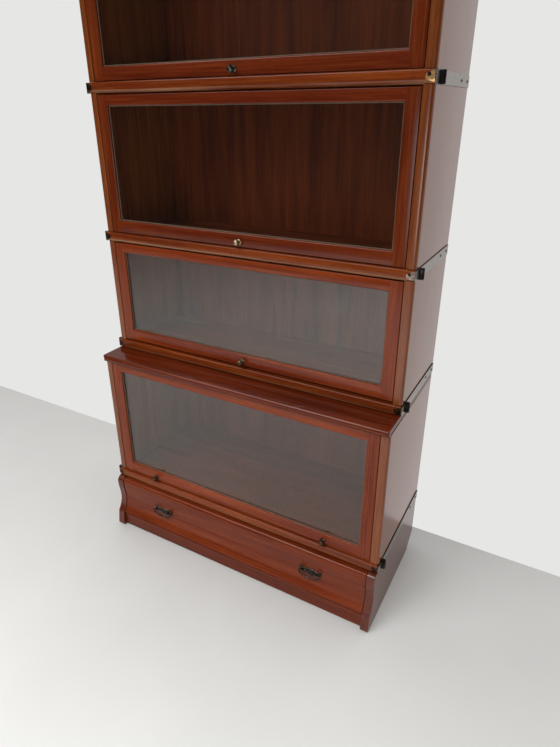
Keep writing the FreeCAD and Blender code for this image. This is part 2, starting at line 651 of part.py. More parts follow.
# ---- the whole bookcase -------------------------------------------------------------------------
drawer_base()
z = BASE_H
for section_name, height, front_y, cover_t, foot_gap, knob_xs in SECTIONS:
    book_section(section_name, z, height, front_y, cover_t, foot_gap, knob_xs)
    z += height
    if cover_t:
        write(section_name + "_ledge_board", ledge_board(z))
cornice_unit(z)
write("joint_bands", bands)
write("corner_caps", caps)
write("fitting_screws", screws)
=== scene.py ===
import bmesh
import bpy
import json
import math
import numpy as np
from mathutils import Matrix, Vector


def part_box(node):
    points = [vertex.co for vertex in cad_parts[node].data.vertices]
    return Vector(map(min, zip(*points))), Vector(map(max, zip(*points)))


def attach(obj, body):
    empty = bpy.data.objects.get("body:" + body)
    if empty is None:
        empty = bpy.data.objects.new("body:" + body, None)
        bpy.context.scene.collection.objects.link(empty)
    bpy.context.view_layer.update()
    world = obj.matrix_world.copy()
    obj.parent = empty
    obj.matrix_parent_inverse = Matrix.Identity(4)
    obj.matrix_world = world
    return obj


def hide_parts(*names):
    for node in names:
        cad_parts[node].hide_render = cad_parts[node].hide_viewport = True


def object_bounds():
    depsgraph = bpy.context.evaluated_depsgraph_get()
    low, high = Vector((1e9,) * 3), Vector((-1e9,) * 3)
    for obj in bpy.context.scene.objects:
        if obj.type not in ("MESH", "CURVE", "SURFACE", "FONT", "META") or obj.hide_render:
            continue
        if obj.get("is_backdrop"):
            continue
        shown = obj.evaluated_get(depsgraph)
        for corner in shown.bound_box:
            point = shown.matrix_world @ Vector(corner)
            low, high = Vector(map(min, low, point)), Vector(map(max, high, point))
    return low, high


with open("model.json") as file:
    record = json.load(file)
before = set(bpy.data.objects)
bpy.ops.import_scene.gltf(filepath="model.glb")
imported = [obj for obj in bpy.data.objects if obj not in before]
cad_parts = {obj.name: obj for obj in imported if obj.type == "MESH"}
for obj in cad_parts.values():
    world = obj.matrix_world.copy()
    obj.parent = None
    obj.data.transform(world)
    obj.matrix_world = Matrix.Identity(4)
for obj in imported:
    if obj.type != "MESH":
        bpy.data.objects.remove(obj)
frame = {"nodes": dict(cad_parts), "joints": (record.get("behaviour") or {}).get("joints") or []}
cad_low, cad_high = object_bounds()
scene = bpy.context.scene

# ---- camera -----------------------------------------------------------------------------------
# Held at chest height before the right-hand corner, turned 29 degrees to the left and tipped
# 24 degrees down, so that the ledge, the drawer base and the right side all show.
camera_body = bpy.data.cameras.new("camera")
camera_body.lens = 26.378
camera_body.shift_x = 0.0121
camera_body.shift_y = -0.0245
camera = bpy.data.objects.new("camera", camera_body)
camera.location = (0.7154, -1.1853, 1.2444)
camera.rotation_euler = [math.radians(angle) for angle in (65.895, 0.388, 29.512)]
scene.collection.objects.link(camera)
scene.camera = camera
scene.view_settings.view_transform = "Standard"


# ---- studio -----------------------------------------------------------------------------------
# A pale painted floor under two big soft boxes and a small low one, with a pale surround behind
# the bookcase and a dim room in front of it, which is what the upper panes of glass mirror.
def linear(hex_colour, alpha=1.0):
    """A colour picked as sRGB hex, as the linear numbers that shaders take."""
    parts = [int(hex_colour[k:k + 2], 16) / 255 for k in (0, 2, 4)]
    parts = [p / 12.92 if p <= 0.04045 else ((p + 0.055) / 1.055) ** 2.4 for p in parts]
    return (*parts, alpha)


def add(tree, kind, inputs=None, **settings):
    """Adds a node with its settings; each input is a value or another node's output."""
    node = tree.nodes.new(kind)
    for key, value in settings.items():
        setattr(node, key, value)
    for key, value in (inputs or {}).items():
        if isinstance(value, bpy.types.NodeSocket):
            tree.links.new(value, node.inputs[key])
        else:
            node.inputs[key].default_value = value
    return node


def empty_material(name):
    """A material with nothing but its output, and its node tree."""
    made = bpy.data.materials.new(name)
    made.use_nodes = True
    made.node_tree.nodes.clear()
    return made, made.node_tree


# painted screed: matt, with the faint cloudiness that a roller leaves
floor_paint, tree = empty_material("painted_screed")
place = add(tree, "ShaderNodeTexCoord")
clouds = add(tree, "ShaderNodeTexNoise", {"Vector": place.outputs["Object"], "Scale": 3.0, "Detail": 6.0})
shade = add(tree, "ShaderNodeMix", {0: clouds.outputs["Fac"], 6: linear("cdcdcb"), 7: linear("d8d8d6")},
            data_type="RGBA")
shader = add(tree, "ShaderNodeBsdfPrincipled", {"Base Color": shade.outputs[2], "Roughness": 0.7})
add(tree, "ShaderNodeOutputMaterial", {"Surface": shader.outputs[0]})

floor_front, floor_back, floor_side = -2.9, 0.26, 3.6
floor_mesh = bpy.data.meshes.new("floor")
floor_mesh.from_pydata([(-floor_side, floor_front, 0), (floor_side, floor_front, 0),
                        (floor_side, floor_back, 0), (-floor_side, floor_back, 0)], [], [(0, 1, 2, 3)])
floor_mesh.materials.append(floor_paint)
floor = bpy.data.objects.new("floor", floor_mesh)
scene.collection.objects.link(floor)
floor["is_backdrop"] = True

# the surround: pale behind and overhead, dim towards -Y, and always pale where it is the backdrop
surround = bpy.data.worlds.new("surround")
surround.use_nodes = True
tree = surround.node_tree
tree.nodes.clear()
place = add(tree, "ShaderNodeTexCoord")
direction = add(tree, "ShaderNodeSeparateXYZ", {0: place.outputs["Generated"]})
towards_wall = add(tree, "ShaderNodeMapRange", {"Value": direction.outputs["Y"], "From Min": -0.35,
                                                "From Max": 0.30}, interpolation_type="SMOOTHSTEP")
glow = add(tree, "ShaderNodeMix", {0: towards_wall.outputs[0], 6: linear("3a3632"), 7: linear("f0efee")},
           data_type="RGBA")
room = add(tree, "ShaderNodeBackground", {"Color": glow.outputs[2], "Strength": 1.0})
backdrop = add(tree, "ShaderNodeBackground", {"Color": linear("e6e6e5"), "Strength": 1.0})
path = add(tree, "ShaderNodeLightPath")
seen = add(tree, "ShaderNodeMixShader", {0: path.outputs["Is Camera Ray"], 1: room.outputs[0],
                                         2: backdrop.outputs[0]})
add(tree, "ShaderNodeOutputWorld", {"Surface": seen.outputs[0]})
scene.world = surround


def soft_box(name, width, depth, power, location, target, spread=180):
    """A rectangular soft light that faces a target point."""
    lamp = bpy.data.lights.new(name, "AREA")
    lamp.shape = "RECTANGLE"
    lamp.size = width
    lamp.size_y = depth
    lamp.energy = power
    lamp.spread = math.radians(spread)
    made = bpy.data.objects.new(name, lamp)
    made.location = location
    aim = Vector(target) - Vector(location)
    made.rotation_euler = aim.to_track_quat("-Z", "Y").to_euler()
    scene.collection.objects.link(made)


soft_box("key", 2.2, 1.6, 62.0, (-1.5, -2.5, 3.1), (0.0, 0.0, 0.5))
soft_box("low_front", 1.4, 0.8, 15.0, (0.75, -2.6, 0.8), (0.0, -0.2, 0.3))
soft_box("over_open_floor", 2.6, 1.8, 46.0, (0.0, -2.5, 3.1), (0.0, -2.3, 0.0), spread=100)


# ---- base sides -------------------------------------------------------------------------------
# The two feet of the bookcase: solid mahogany boards on edge, bandsawn to a serpentine front,
# with a rounded toe in front and the rear lower corner cut away to clear a skirting board.
MM = 0.001
ACROSS_X, ACROSS_Y, ACROSS_Z = 0, 1, 2


def mahogany(name, grain, deep, middle, pale, polish=0.55, coat_roughness=0.16, wear_and_highlight=0.5,
             dust_and_floor_sheen=None):
    """Straight-grained mahogany under shellac: dark red-brown that shows lighter where it is worn.

    Every layer is noise stretched along the grain. The ribbon of the interlocked grain is about
    24 mm wide, the streaks 3.5 mm. The pores are 0.2 mm wide on the wood and are drawn 1.3 mm
    wide, because finer ones would not show. A film of shellac gives the mirror-like coat, which
    waves a little over every 40 mm, as a hand-rubbed face does. The last argument is the colour
    painted on faces that look down and forwards, such as the underside of a round: mostly a painted
    reflection of the pale floor, with some dust.
    """
    made, tree = empty_material(name)
    place = add(tree, "ShaderNodeTexCoord")
    layers = {}
    for layer, across_mm, along_mm, detail in (("ribbon", 24, 420, 3.0), ("streak", 3.5, 130, 3.0),
                                               ("pore", 1.3, 16, 1.0), ("wave", 40, 120, 1.0)):
        scale = [1000 / across_mm] * 3
        scale[grain] = 1000 / along_mm
        mapped = add(tree, "ShaderNodeMapping", {"Vector": place.outputs["Object"], "Scale": scale})
        layers[layer] = add(tree, "ShaderNodeTexNoise", {"Vector": mapped.outputs[0], "Scale": 1.0,
                                                         "Detail": detail, "Distortion": 0.25}).outputs[0]
    ribbon = add(tree, "ShaderNodeMapRange", {"Value": layers["ribbon"], "From Min": 0.32, "From Max": 0.68})
    colour = add(tree, "ShaderNodeMix", {0: ribbon.outputs[0], 6: linear(deep), 7: linear(middle)},
                 data_type="RGBA")
    streak = add(tree, "ShaderNodeMapRange", {"Value": layers["streak"], "From Min": 0.42, "From Max": 0.78,
                                              "To Max": 0.4})
    colour = add(tree, "ShaderNodeMix", {0: streak.outputs[0], 6: colour.outputs[2], 7: linear(pale)},
                 data_type="RGBA")
    pore = add(tree, "ShaderNodeMapRange", {"Value": layers["pore"], "From Min": 0.58, "From Max": 0.72,
                                            "To Max": 0.3})
    colour = add(tree, "ShaderNodeMix", {0: pore.outputs[0], 6: colour.outputs[2], 7: linear("1c0703")},
                 data_type="RGBA")

    # lighter arrises, mostly a painted highlight and partly wear: where the normal of a 2 mm rounding
    # differs from the face's own
    rounding = add(tree, "ShaderNodeBevel", {"Radius": 2.0 * MM}, samples=4)
    face = add(tree, "ShaderNodeNewGeometry")
    same = add(tree, "ShaderNodeVectorMath", {0: rounding.outputs[0], 1: face.outputs["Normal"]},
               operation="DOT_PRODUCT")
    rubbed = add(tree, "ShaderNodeMapRange", {"Value": same.outputs["Value"], "From Min": 0.98,
                                              "From Max": 0.80, "To Max": wear_and_highlight})
    colour = add(tree, "ShaderNodeMix", {0: rubbed.outputs[0], 6: colour.outputs[2], 7: linear(pale)},
                 data_type="RGBA")

    # painted reflection of the pale floor, with some dust, on faces that look down
    if dust_and_floor_sheen:
        facing = add(tree, "ShaderNodeSeparateXYZ", {0: face.outputs["Normal"]})
        under = add(tree, "ShaderNodeMapRange", {"Value": facing.outputs["Z"], "From Min": -0.1,
                                                 "From Max": -0.4, "To Max": 0.75})
        patchy = add(tree, "ShaderNodeMath", {0: under.outputs[0], 1: ribbon.outputs[0]},
                     operation="MULTIPLY")
        colour = add(tree, "ShaderNodeMix", {0: patchy.outputs[0], 6: colour.outputs[2], 7: linear(dust_and_floor_sheen)},
                     data_type="RGBA")

    grain_depth, film_depth = 0.08 * MM, 0.12 * MM
    grain_relief = add(tree, "ShaderNodeBump", {"Height": layers["streak"], "Strength": 0.25,
                                                "Distance": grain_depth})
    film_relief = add(tree, "ShaderNodeBump", {"Height": layers["wave"], "Strength": 0.5,
                                               "Distance": film_depth})
    shader = add(tree, "ShaderNodeBsdfPrincipled", {
        "Base Color": colour.outputs[2], "Roughness": 0.5, "Specular IOR Level": 0.0,
        "Coat Weight": polish, "Coat Roughness": coat_roughness, "Coat IOR": 1.5,
        "Normal": grain_relief.outputs[0], "Coat Normal": film_relief.outputs[0]})
    add(tree, "ShaderNodeOutputMaterial", {"Surface": shader.outputs[0]})
    return made


crosswise_mahogany = mahogany("french_polished_mahogany_crosswise", ACROSS_X, "581c0a", "742e12", "944a20",
                              coat_roughness=0.22)
foot_mahogany = mahogany("french_polished_mahogany_foot", ACROSS_Y, "481607", "5e240e", "7c3c18", polish=1.0,
                         coat_roughness=0.24)


def loft(rings):
    """A closed skin through loops of points: each loop is joined to the next one by quads, and the
    first and last are filled. rings is (loops, points, 3). Points that coincide become one."""
    rings = np.asarray(rings, float)
    loops, points = rings.shape[:2]
    flat, index = np.unique(np.round(rings.reshape(-1, 3), 7), axis=0, return_inverse=True)
    index = index.reshape(loops, points)
    after = np.roll(index, -1, axis=1)
    quads = np.stack([index[:-1], after[:-1], after[1:], index[1:]], axis=-1).reshape(-1, 4)
    faces = []
    for face in [*quads.tolist(), index[0].tolist(), index[-1].tolist()]:
        corners = [a for a, b in zip(face, face[1:] + face[:1]) if a != b]
        if len(set(corners)) > 2:
            faces.append(corners)
    return flat, faces


def prism(outline, axis, start, end):
    """An outline carried straight along one axis, its two columns being the other axes in order.
    start and end are one place, or one for each point of the outline."""
    rings = np.empty((2, len(outline), 3))
    rings[:, :, [k for k in range(3) if k != axis]] = outline
    rings[0, :, axis] = start
    rings[1, :, axis] = end
    return loft(rings)


def piece(name, parts, material, body, nodes, smooth=32, soften=0.0):
    """One object from closed skins, with outward normals, sharp where faces meet at more than
    `smooth` degrees, and its arrises rounded by `soften`. It stands for the CAD nodes named."""
    points, faces = [], []
    for part_points, part_faces in parts:
        faces += [[len(points) + corner for corner in face] for face in part_faces]
        points += part_points.tolist()
    mesh = bpy.data.meshes.new(name)
    mesh.from_pydata(points, [], faces)
    skin = bmesh.new()
    skin.from_mesh(mesh)
    bmesh.ops.recalc_face_normals(skin, faces=skin.faces)
    skin.to_mesh(mesh)
    skin.free()
    mesh.polygons.foreach_set("use_smooth", np.ones(len(mesh.polygons), bool))
    mesh.set_sharp_from_angle(angle=math.radians(smooth))
    mesh.materials.append(material)
    made = bpy.data.objects.new(name, mesh)
    scene.collection.objects.link(made)
    if soften:
        rounding = made.modifiers.new("rounded_arrises", "BEVEL")
        rounding.width = soften
        rounding.segments = 2
        rounding.limit_method = "ANGLE"
        rounding.angle_limit = math.radians(smooth)
        rounding.harden_normals = True
    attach(made, body)
    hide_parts(*nodes)
    return made


def rounded(corner, before, after, steps=6):
    """A quarter round in place of a square corner, from corner + before to corner + after: the
    arc whose centre is corner + before + after."""
    corner, before, after = (np.array(part, float) for part in (corner, before, after))
    turn = np.linspace(0, math.pi / 2, steps + 1)[:, None]
    return corner + before * (1 - np.sin(turn)) + after * (1 - np.cos(turn))


def leaving_upright(start, end, steps=10):
    """The arc from start to end, in Y and Z, that is upright at start. Its radius is (rise squared
    + reach squared) / twice the reach."""
    reach, rise = end[0] - start[0], end[1] - start[1]
    radius = (rise ** 2 + reach ** 2) / (2 * abs(reach))
    turn = np.linspace(0, math.asin(abs(rise) / radius), steps + 1)
    return np.stack([start[0] + math.copysign(radius, reach) * (1 - np.cos(turn)),
                     start[1] + math.copysign(radius, rise) * np.sin(turn)], axis=-1)


deep_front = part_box("section_1_side_right")[0].y
base_low, base_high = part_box("base_side_right")
shoulder_r = 17.5 * MM
swell_drop, swell_back = 29.25 * MM, 2.75 * MM
flare_y, flare_z = 33.0 * MM, 52.0 * MM


def serpentine(set_back, top):
    """The base's front line in Y and Z, from the top down to the flare: a round shoulder, a
    shallow S of two equal arcs, and a hollow that sweeps forward to the foot."""
    shoulder = deep_front + set_back - 3.0 * MM
    springing = base_high.z - shoulder_r
    swell = np.array([shoulder - shoulder_r, springing])
    middle = swell + (swell_back, -swell_drop)
    waist = middle + (swell_back, -swell_drop)
    flare = np.array([deep_front + set_back - flare_y, flare_z])
    turn = np.linspace(math.asin(min(1.0, (top - springing) / shoulder_r)), 0, 10)
    crown = np.stack([shoulder - shoulder_r * np.cos(turn), springing + shoulder_r * np.sin(turn)], axis=-1)
    return np.vstack([crown, leaving_upright(swell, middle)[1:], leaving_upright(waist, middle)[-2::-1],
                      leaving_upright(waist, flare, 16)[1:]])


toe_r = 9.0 * MM
eased_arris = 1.2 * MM
skirting_depth, skirting_height = 50.0 * MM, 45.0 * MM
foot_outline = np.vstack([
    serpentine(0.0, base_high.z),
    rounded((base_low.y, 0.0), (0.0, toe_r), (toe_r, 0.0)),
    [(base_high.y - skirting_depth, 0.0), (base_high.y, skirting_height), (base_high.y, base_high.z)]])
for side in ("left", "right"):
    low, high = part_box("base_side_" + side)
    piece("base_side_board_" + side, [prism(foot_outline, ACROSS_X, low.x, high.x)], foot_mahogany,
          "case", ["base_side_" + side], soften=eased_arris)


# ---- base boards ------------------------------------------------------------------------------
# What joins the feet: a plinth rail under the drawer, a floor board, a back board and the two
# runners that the drawer slides on. Planed mahogany; only the plinth rail is polished.
inside_mahogany, inside_upright, inside_lengthwise = (
    mahogany("satin_mahogany_" + way, grain, "45180b", "642a13", "7d411d", polish=0.12, coat_roughness=0.4,
             wear_and_highlight=0.0)
    for way, grain in (("crosswise", ACROSS_X), ("upright", ACROSS_Z), ("lengthwise", ACROSS_Y)))
plinth_mahogany = mahogany("french_polished_mahogany_plinth", ACROSS_X, "4c1709", "66260f", "82401a",
                           wear_and_highlight=0.2)


def finish(node, material):
    """A CAD node that keeps its shape and takes a finish."""
    slots = frame["nodes"][node].data.materials
    slots.clear()
    slots.append(material)


def block(low, high):
    """A square-edged board between two corners."""
    outline = [(low[0], low[1]), (high[0], low[1]), (high[0], high[1]), (low[0], high[1])]
    return prism(outline, ACROSS_Z, low[2], high[2])


low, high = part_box("base_plinth_rail")
set_back, gap_height = 2.5 * MM, 4.0 * MM    # the shadow line under the drawer
piece("plinth_rail", [block((low.x, low.y + set_back, low.z), (high.x, high.y, high.z - gap_height))],
      plinth_mahogany, "case", ["base_plinth_rail"], soften=1.0 * MM)
finish("base_back_board", inside_mahogany)
finish("base_floor_board", inside_mahogany)
finish("drawer_runners", inside_lengthwise)


# ---- drawer -----------------------------------------------------------------------------------
# A dovetailed box behind a thick front that is worked to the same serpentine line as the feet,
# 2 mm behind them, and polished like them.
drawer_set_back = 2.0 * MM
low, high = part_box("drawer_front")
front_outline = np.vstack([
    serpentine(drawer_set_back, high.z),
    [(low.y, low.z), (high.y, low.z), (high.y, high.z)]])
piece("drawer_serpentine_front", [prism(front_outline, ACROSS_X, low.x, high.x)], crosswise_mahogany,
      "drawer", ["drawer_front"], soften=eased_arris)
finish("drawer_back", inside_mahogany)
finish("drawer_bottom", inside_mahogany)
finish("drawer_sides", inside_lengthwise)


# ---- drawer handles ---------------------------------------------------------------------------
# Two cast bat-wing plates with a raised rim, pinned to the drawer front, and a drop bail hung
# between two turned posts on each. Bronze, patinated nearly black and rubbed on the high places.
def old_metal(name, dark, bright, roughness, rubbed_from, rubbed_to, grit_mm=0.8, metallic=1.0):
    """Metal under old tarnish: noise of about the grit's size decides where the bright metal
    shows, with more of it on rubbed arrises. Blotches of some 6 mm vary the whole."""
    made, tree = empty_material(name)
    place = add(tree, "ShaderNodeTexCoord")
    grit = add(tree, "ShaderNodeTexNoise", {"Vector": place.outputs["Object"], "Scale": 1000 / grit_mm,
                                            "Detail": 2.0})
    blotch = add(tree, "ShaderNodeTexNoise", {"Vector": place.outputs["Object"], "Scale": 1000 / 6.0,
                                              "Detail": 3.0})
    both = add(tree, "ShaderNodeMath", {0: grit.outputs[0], 1: blotch.outputs[0]}, operation="ADD")
    rounding = add(tree, "ShaderNodeBevel", {"Radius": 0.8 * MM}, samples=4)
    face = add(tree, "ShaderNodeNewGeometry")
    same = add(tree, "ShaderNodeVectorMath", {0: rounding.outputs[0], 1: face.outputs["Normal"]},
               operation="DOT_PRODUCT")
    arris = add(tree, "ShaderNodeMapRange", {"Value": same.outputs["Value"], "From Min": 0.98,
                                             "From Max": 0.75, "To Max": 0.35})
    shown = add(tree, "ShaderNodeMath", {0: both.outputs[0], 1: arris.outputs[0]}, operation="ADD")
    rubbed = add(tree, "ShaderNodeMapRange", {"Value": shown.outputs[0], "From Min": rubbed_from,
                                              "From Max": rubbed_to})
    colour = add(tree, "ShaderNodeMix", {0: rubbed.outputs[0], 6: linear(dark), 7: linear(bright)},
                 data_type="RGBA")
    relief = add(tree, "ShaderNodeBump", {"Height": both.outputs[0], "Strength": 0.3, "Distance": 0.1 * MM})
    shader = add(tree, "ShaderNodeBsdfPrincipled", {
        "Base Color": colour.outputs[2], "Metallic": metallic, "Roughness": roughness,
        "Normal": relief.outputs[0]})
    add(tree, "ShaderNodeOutputMaterial", {"Surface": shader.outputs[0]})
    return made


aged_bronze = old_metal("patinated_bronze", "2a2120", "8b7c6e", 0.36, 0.95, 1.45)

# one half of the plate's edge, clockwise from the middle of its top, in millimetres
wing = np.array([(0, 11), (8, 12), (15, 9.5), (21.5, 11), (28.5, 15), (34.5, 13.5), (31, 9), (33.5, 3),
                 (31, -4), (25, -7), (19, -6), (13, -9.5), (6, -12), (0, -14)], float)
wing_round = np.vstack([wing, wing[-2:0:-1] * (-1, 1)]) * MM


def closed_curve(corners, steps=5):
    """A smooth closed line through corners: on each span the cubic whose slope at a corner is half
    the way from the corner before it to the one after it."""
    before, after, beyond = (np.roll(corners, k, axis=0) for k in (1, -1, -2))
    t = (np.arange(steps) / steps)[None, :, None]
    a, b = corners[:, None], after[:, None]
    slope_a, slope_b = (after - before)[:, None] / 2, (beyond - corners)[:, None] / 2
    line = (a * (2 * t ** 3 - 3 * t ** 2 + 1) + slope_a * (t ** 3 - 2 * t ** 2 + t)
            + b * (3 * t ** 2 - 2 * t ** 3) + slope_b * (t ** 3 - t ** 2))
    return line.reshape(-1, 2)


def turned(centre, axis, profile, steps=40):
    """A lathe shape: pairs of radius and distance carried round a direction from a centre."""
    axis = np.array(axis, float)
    first = np.cross(axis, (0.0, 0.0, 1.0) if abs(axis[2]) < 0.9 else (1.0, 0.0, 0.0))
    second = np.cross(axis, first)
    turn = np.arange(steps) / steps * 2 * math.pi
    spoke = first * np.cos(turn)[:, None] + second * np.sin(turn)[:, None]
    profile = np.array(profile, float) * MM
    return loft(np.array(centre) + spoke * profile[:, :1, None] + axis * profile[:, 1:, None])


def tube(line, radii, second, steps=16):
    """A round bar along a line that lies in a plane; second is the plane's normal. Each ring is
    square to the line, whose direction is the difference between neighbouring points."""
    ahead = np.gradient(line, axis=0)
    ahead /= np.linalg.norm(ahead, axis=1, keepdims=True)
    first = np.cross(ahead, second)
    turn = (np.arange(steps) / steps * 2 * math.pi)[None, :, None]
    spoke = first[:, None] * np.cos(turn) + np.array(second) * np.sin(turn)
    return loft(line[:, None] + spoke * np.array(radii)[:, None, None])


post_reach, handle_z = 22.5 * MM, 103.0 * MM
spine_half, spine_up = 24.0 * MM, 1.0 * MM    # the ridge along the middle of the plate
for name in ("left", "right"):
    swing = next(j for j in frame["joints"] if j["name"] == "bail_" + name + "_swing")
    x_mid, bail_y, post_z = swing["pos_m"]
    skin = serpentine(drawer_set_back, high.z)[::-1]

    # the plate: loops from its edge inwards, over a rim, down to a hollowed field and up to a
    # ridge. Each has its inset and height in millimetres and its share of the way to the ridge.
    edge = closed_curve(wing_round)
    along = np.roll(edge, -1, axis=0) - np.roll(edge, 1, axis=0)
    inward = np.stack([along[:, 1], -along[:, 0]], axis=-1) / np.linalg.norm(along, axis=1)[:, None]
    spine = np.stack([np.clip(edge[:, 0], -spine_half, spine_half), np.full(len(edge), spine_up)], axis=-1)
    rings = []
    for inset, towards_spine, height in ((0, 0, -1.0), (0, 0, 1.1), (0.5, 0, 1.8), (1.1, 0, 1.7),
                                         (1.7, 0, 0.9), (1.7, 0.3, 1.0), (1.7, 0.65, 1.3), (1.7, 0.97, 1.8)):
        line = edge + inward * inset * MM
        line = line + (spine - line) * towards_spine
        z = line[:, 1] + handle_z
        y = np.interp(z, skin[:, 1], skin[:, 0]) - height * MM
        rings.append(np.stack([line[:, 0] + x_mid, y, z], axis=-1))
    parts = [loft(rings)]
    wood_y = np.interp(post_z, skin[:, 1], skin[:, 0])
    reach = (wood_y - bail_y) / MM
    for post in (-1, 1):
        parts.append(turned((x_mid + post * post_reach, wood_y, post_z), (0, -1, 0), [
            (0, -1), (5.0, -1), (5.0, 2.1), (4.1, 2.8), (3.1, 3.8), (2.7, reach - 4.2), (3.2, reach - 3.2),
            (3.9, reach - 1.7), (4.0, reach), (3.7, reach + 1.7), (2.4, reach + 2.7), (0, reach + 3.0)]))
    piece("bat_wing_plate_" + name, parts, aged_bronze, "drawer", ["drawer_handle_plates"])

    # the bail: a squared-off U, swelling in the middle between two small collars
    arm_x, drop = 29.6 * MM, 15.5 * MM
    turn = np.linspace(0, math.pi, 61)
    across = np.sign(np.cos(turn)) * np.abs(np.cos(turn)) ** 0.55 * arm_x
    down = np.abs(np.sin(turn)) ** 0.55 * drop
    line = np.stack([x_mid + across, np.full(61, bail_y), post_z - down], axis=-1)
    middle = across / MM
    collars = 0.7 * np.exp(-((np.abs(middle) - 10.0) / 1.2) ** 2)
    radii = (1.9 + 1.4 * np.exp(-(middle / 5.0) ** 2) + collars) * MM
    parts = [tube(line, radii, (0.0, 1.0, 0.0))]
    for arm in (-1, 1):
        parts.append(turned((x_mid + arm * arm_x, bail_y, post_z), (arm, 0, 0), [
            (0, -11), (1.6, -11), (1.6, -2.2), (2.4, -1.6), (2.4, 1.2), (1.6, 2.2), (0, 2.4)]))
    piece("drop_bail_" + name, parts, aged_bronze, "bail_" + name, ["bail_handle_" + name])


# ---- section sides ----------------------------------------------------------------------------
# Each book section stands between two boards with the grain upright. Their front edge is eased
# inside and well rounded outside, a notch takes the joint rail, and a groove near the top of the
# inner face guides the runner shoe of the door.
side_mahogany = mahogany("french_polished_mahogany_side", ACROSS_Z, "652d0f", "7c3e17", "965626", polish=1.0,
                         coat_roughness=0.2, wear_and_highlight=0.2)
notch_depth, notch_height = 14.0 * MM, 25.0 * MM
inner_ease, outer_round = 1.5 * MM, 8.5 * MM
groove_depth, groove_half, groove_front = 6.0 * MM, 4.2 * MM, 4.7 * MM
back_rebate = 11.0 * MM


def side_board(inner, outer, front, rear, low, top, groove_z):
    """The board's level section carried upwards. Below the top of the notch its front points are
    pushed back to the notch, and between the groove's edges two inner points are pushed in."""
    way = math.copysign(1.0, outer - inner)
    groove = [(inner, rear - back_rebate)] * 2 + [(inner, front + groove_front)] * 2
    section = np.vstack([
        groove,
        rounded((inner, front), (0, inner_ease), (way * inner_ease, 0)),
        rounded((outer, front), (-way * outer_round, 0), (0, outer_round), 8),
        [(outer, rear), (inner, rear)]])
    notched = section.copy()
    notched[:, 1] = np.maximum(section[:, 1], front + notch_depth)
    grooved = section.copy()
    grooved[1:3, 0] += way * groove_depth
    levels = [(notched, low), (notched, low + notch_height), (section, low + notch_height),
              (section, groove_z - groove_half), (grooved, groove_z - groove_half),
              (grooved, groove_z + groove_half), (section, groove_z + groove_half), (section, top)]
    return loft([np.column_stack([outline, np.full(len(outline), z)]) for outline, z in levels])


sections = ("1", "2", "3", "4")
for number in sections:
    lift = next(j for j in frame["joints"] if j["name"] == "door_" + number + "_lift")
    for side in ("left", "right"):
        low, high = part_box("section_" + number + "_side_" + side)
        inner, outer = (low.x, high.x) if side == "right" else (high.x, low.x)
        board = side_board(inner, outer, low.y, high.y, low.z, high.z, lift["pos_m"][2])
        piece("section_" + number + "_side_board_" + side, [board], side_mahogany, "case",
              ["section_" + number + "_side_" + side])


# ---- backs and shelves ------------------------------------------------------------------------
# Four upright back boards with eased edges, and one shelf board in the bottom of every section,
# all in mahogany with a thin satin polish.
for number in sections:
    low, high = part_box("section_" + number + "_back_boards")
    board_ends = [low.x, -150.0 * MM, 0.0, 150.0 * MM, high.x]
    boards = [block((left, low.y, low.z), (right, high.y, high.z))
              for left, right in zip(board_ends[:-1], board_ends[1:])]
    piece("section_" + number + "_back", boards, inside_upright, "case",
          ["section_" + number + "_back_boards"], soften=0.8 * MM)
    finish("section_" + number + "_shelf_board", inside_mahogany)


# ---- ledge board ------------------------------------------------------------------------------
# A dense, darker board that covers the deep lowest section, with a half-round nosing in front.
ledge_mahogany = mahogany("french_polished_mahogany_ledge", ACROSS_X, "451407", "63240c", "833a16", wear_and_highlight=0.6)
low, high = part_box("section_1_ledge_board")
half_thick = (high.z - low.z) / 2
ledge_outline = np.vstack([
    [(high.y, low.z), (high.y, high.z)],
    rounded((low.y, high.z), (half_thick, 0), (0, -half_thick), 8),
    rounded((low.y, low.z), (0, half_thick * 0.7), (half_thick * 0.7, 0), 6)])
# its two front corners are rounded in plan: near the front each end is drawn in along a circle
corner_r = 8.0 * MM
short_of = np.maximum(corner_r - (ledge_outline[:, 0] - low.y), 0)
ledge_end = high.x - corner_r + np.sqrt(corner_r ** 2 - short_of ** 2)
piece("ledge_board", [prism(ledge_outline, ACROSS_X, -ledge_end, ledge_end)], ledge_mahogany, "case",
      ["section_1_ledge_board"], soften=eased_arris)


# ---- joint rails ------------------------------------------------------------------------------
# The moulded rail across the bottom front of every unit: a small round on top, a large one below.
# It steps down by 0.8 mm at both ends, where the corner caps are let in.
# its large lower round takes the painted floor reflection, with some dust
rail_mahogany = mahogany("french_polished_mahogany_rail", ACROSS_X, "5c210c", "7a3412", "9a5722", wear_and_highlight=0.7,
                         dust_and_floor_sheen="a88664")
rail_under_r, rail_top_r, cap_thick = 9.0 * MM, 3.0 * MM, 1.5 * MM
end_step, cap_length = 0.8 * MM, 18.0 * MM


def rail_outline(low, high, inset):
    """The rail's section in Y and Z, with its nose, top and foot moved in by inset."""
    face, foot, top = low.y + inset, low.z + inset, high.z - inset
    upper, under = rail_top_r - inset * 0.9, rail_under_r - inset
    return np.vstack([
        [(high.y, foot), (high.y, top)],
        rounded((face, top), (upper, 0), (0, -upper), 5),
        rounded((face, foot), (0, under), (under, 0), 9)])


rails = {number: "section_" + number + "_joint_rail" for number in sections}
rails["cornice"] = "cornice_joint_rail"
for name, node in rails.items():
    low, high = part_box(node)
    end = high.x + cap_thick - cap_length
    full, tongue = rail_outline(low, high, 0.0), rail_outline(low, high, end_step)
    piece(node + "_moulding", [prism(full, ACROSS_X, -end, end), prism(tongue, ACROSS_X, -high.x, -end),
                               prism(tongue, ACROSS_X, end, high.x)], rail_mahogany, "case", [node])
